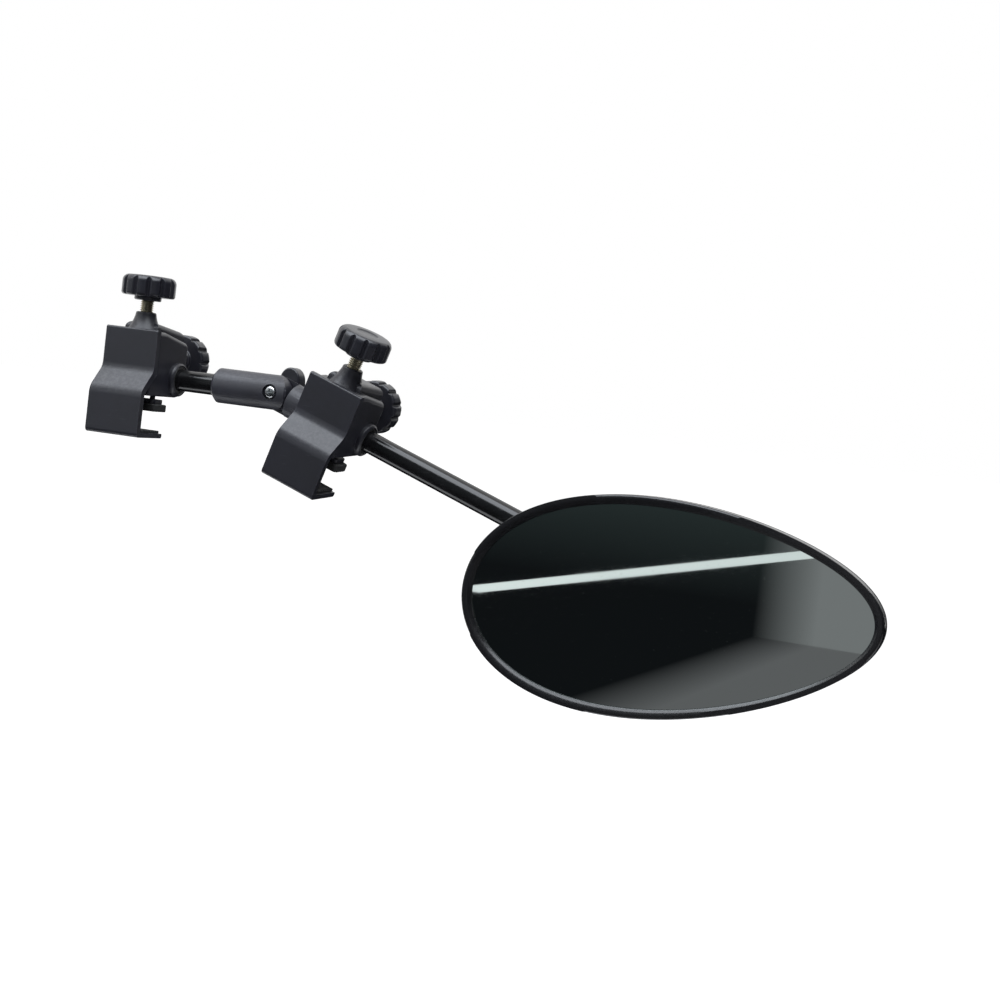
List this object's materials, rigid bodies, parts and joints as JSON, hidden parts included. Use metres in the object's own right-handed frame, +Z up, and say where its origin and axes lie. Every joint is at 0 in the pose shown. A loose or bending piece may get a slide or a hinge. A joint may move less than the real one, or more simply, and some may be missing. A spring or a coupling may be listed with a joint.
{
  "type": "towing mirror",
  "caption": "Clip-on towing mirror: screw clamps with fluted knobs on a jointed round arm that carries an egg-shaped mirror head on a ball joint.",
  "frame": {"origin": "centre of the inner clamp's hook pad face, where the car mirror's rim rests", "axes": "+Z up, out of the hook pad face; +X along the arm, away from the car; -Y towards the driver, who looks into the glass"},
  "size_m": [0.6108, 0.106, 0.2583],
  "materials": {
    "clamp_moulding": "satin black glass-filled nylon with a fine texture",
    "rubber_pad": "soft black rubber",
    "bright_zinc": "bright zinc plated steel",
    "brass_insert": "plain brass",
    "zinc_thread": "yellow zinc plated steel thread",
    "knob_plastic": "satin black moulded knob",
    "liner_plastic": "low friction black plastic liner",
    "tube_paint": "gloss black painted steel tube",
    "arm_moulding": "matte dark grey glass-filled nylon",
    "friction_fibre": "pressed fibre disc",
    "cup_plastic": "natural acetal",
    "head_shell": "satin black moulded shell with a fine texture",
    "bezel": "satin black moulded rim",
    "mirror_glass": "silvered float glass, slightly green",
    "backing_board": "plain board"
  },
  "bodies": {
    "inner_clamp": {"inner_clamp_body": "clamp_moulding", "inner_jaw_plate": "clamp_moulding", "inner_hook_pad": "rubber_pad", "inner_jaw_screws": "bright_zinc", "inner_thread_inserts": "brass_insert"},
    "inner_foot": {"inner_foot_carrier": "clamp_moulding", "inner_foot_pad": "rubber_pad"},
    "inner_clamp_screw": {"inner_clamp_stud": "zinc_thread", "inner_clamp_knob": "knob_plastic", "inner_foot_clip": "bright_zinc"},
    "inner_shoe": {"inner_lock_shoe": "liner_plastic"},
    "inner_lock_screw": {"inner_lock_stud": "zinc_thread", "inner_lock_knob": "knob_plastic"},
    "inner_bush": {"inner_tube_bush": "liner_plastic"},
    "arm_inner": {"inner_tube": "tube_paint", "inner_tube_plug": "liner_plastic", "hinge_sleeve": "arm_moulding", "sleeve_pin": "bright_zinc", "hinge_bolt": "bright_zinc", "hinge_friction_disc": "friction_fibre"},
    "hinge_washer": {"hinge_knob_washer": "bright_zinc"},
    "hinge_knob": {"hinge_star_knob": "knob_plastic"},
    "arm_outer": {"outer_knuckle": "arm_moulding", "knuckle_pin": "bright_zinc", "outer_tube": "tube_paint", "ball_fitting": "arm_moulding", "fitting_pin": "bright_zinc"},
    "outer_clamp": {"outer_clamp_body": "clamp_moulding", "outer_jaw_plate": "clamp_moulding", "outer_hook_pad": "rubber_pad", "outer_jaw_screws": "bright_zinc", "outer_thread_inserts": "brass_insert"},
    "outer_foot": {"outer_foot_carrier": "clamp_moulding", "outer_foot_pad": "rubber_pad"},
    "outer_clamp_screw": {"outer_clamp_stud": "zinc_thread", "outer_clamp_knob": "knob_plastic", "outer_foot_clip": "bright_zinc"},
    "outer_shoe": {"outer_lock_shoe": "liner_plastic"},
    "outer_lock_screw": {"outer_lock_stud": "zinc_thread", "outer_lock_knob": "knob_plastic"},
    "outer_bush": {"outer_tube_bush": "liner_plastic"},
    "pivot_stud": {"ball_stud": "bright_zinc", "ball_stud_washer": "bright_zinc", "ball_stud_nut": "bright_zinc"},
    "pivot_cup": {"ball_cup": "cup_plastic"},
    "head": {"ball_socket": "arm_moulding", "socket_screws": "bright_zinc", "head_shell": "head_shell", "head_bezel": "bezel", "mirror_glass": "mirror_glass", "glass_backing": "backing_board"}
  },
  "joints": [
    {"name": "inner_foot_slide", "type": "slide", "parent": "inner_clamp", "child": "inner_foot", "axis": [0, 0, 1], "range_m": [-0.008, 0.0015]},
    {"name": "inner_screw_turn", "type": "hinge", "parent": "inner_foot", "child": "inner_clamp_screw", "pos_m": [0, 0.011, 0.1], "axis": [0, 0, 1], "range_deg": [-1925, 365]},
    {"name": "inner_shoe_slide", "type": "slide", "parent": "inner_clamp", "child": "inner_shoe", "axis": [0, 1, 0], "range_m": [0, 0.00225]},
    {"name": "inner_lock_turn", "type": "hinge", "parent": "inner_shoe", "child": "inner_lock_screw", "pos_m": [0, 0.06, 0.05345], "axis": [0, 1, 0], "range_deg": [-5, 545]},
    {"name": "inner_arm_roll", "type": "hinge", "parent": "inner_clamp", "child": "inner_bush", "pos_m": [0, 0.03, 0.039], "axis": [1, 0, 0], "range_deg": [-30, 30]},
    {"name": "inner_arm_slide", "type": "slide", "parent": "inner_bush", "child": "arm_inner", "axis": [1, 0, 0], "range_m": [-0.02, 0.02]},
    {"name": "hinge_washer_slide", "type": "slide", "parent": "arm_inner", "child": "hinge_washer", "axis": [0, 1, 0], "range_m": [0, 0.001]},
    {"name": "hinge_knob_turn", "type": "hinge", "parent": "hinge_washer", "child": "hinge_knob", "pos_m": [0.106, 0.05, 0.039], "axis": [0, 1, 0], "range_deg": [-5, 365]},
    {"name": "arm_hinge", "type": "hinge", "parent": "arm_inner", "child": "arm_outer", "pos_m": [0.106, 0.03, 0.039], "axis": [0, 1, 0], "range_deg": [-40, 35]},
    {"name": "outer_clamp_slide", "type": "slide", "parent": "arm_outer", "child": "outer_bush", "axis": [0.9455, 0, -0.3256], "range_m": [0, 0.1]},
    {"name": "outer_clamp_roll", "type": "hinge", "parent": "outer_bush", "child": "outer_clamp", "pos_m": [0.16084, 0.03, 0.02012], "axis": [0.9455, 0, -0.3256], "range_deg": [-25, 25]},
    {"name": "outer_foot_slide", "type": "slide", "parent": "outer_clamp", "child": "outer_foot", "axis": [0.3248, -0.0698, 0.9432], "range_m": [-0.008, 0.0015]},
    {"name": "outer_screw_turn", "type": "hinge", "parent": "outer_foot", "child": "outer_clamp_screw", "pos_m": [0.18022, 0.00679, 0.0764], "axis": [0.3248, -0.0698, 0.9432], "range_deg": [-1925, 365]},
    {"name": "outer_shoe_slide", "type": "slide", "parent": "outer_clamp", "child": "outer_shoe", "axis": [0.0227, 0.9976, 0.066], "range_m": [0, 0.00225]},
    {"name": "outer_lock_turn", "type": "hinge", "parent": "outer_shoe", "child": "outer_lock_screw", "pos_m": [0.16621, 0.05892, 0.03572], "axis": [0.0227, 0.9976, 0.066], "range_deg": [-5, 545]},
    {"name": "head_spin", "type": "hinge", "parent": "arm_outer", "child": "pivot_stud", "pos_m": [0.43362, 0, -0.07381], "axis": [0, 1, 0], "range_deg": [-25, 25]},
    {"name": "head_turn", "type": "hinge", "parent": "pivot_stud", "child": "pivot_cup", "pos_m": [0.43362, 0, -0.07381], "axis": [0, 0, 1], "range_deg": [-10, 10]},
    {"name": "head_tilt", "type": "hinge", "parent": "pivot_cup", "child": "head", "pos_m": [0.43362, 0, -0.07381], "axis": [1, 0, 0], "range_deg": [-10, 10]}
  ],
  "couplings": [
    {"joint": "inner_screw_turn", "follows": "inner_foot_slide", "rad_per_m": 4188.8},
    {"joint": "inner_lock_turn", "follows": "inner_shoe_slide", "rad_per_m": 4188.8},
    {"joint": "hinge_knob_turn", "follows": "hinge_washer_slide", "rad_per_m": 6283.2},
    {"joint": "outer_screw_turn", "follows": "outer_foot_slide", "rad_per_m": 4188.8},
    {"joint": "outer_lock_turn", "follows": "outer_shoe_slide", "rad_per_m": 4188.8}
  ]
}
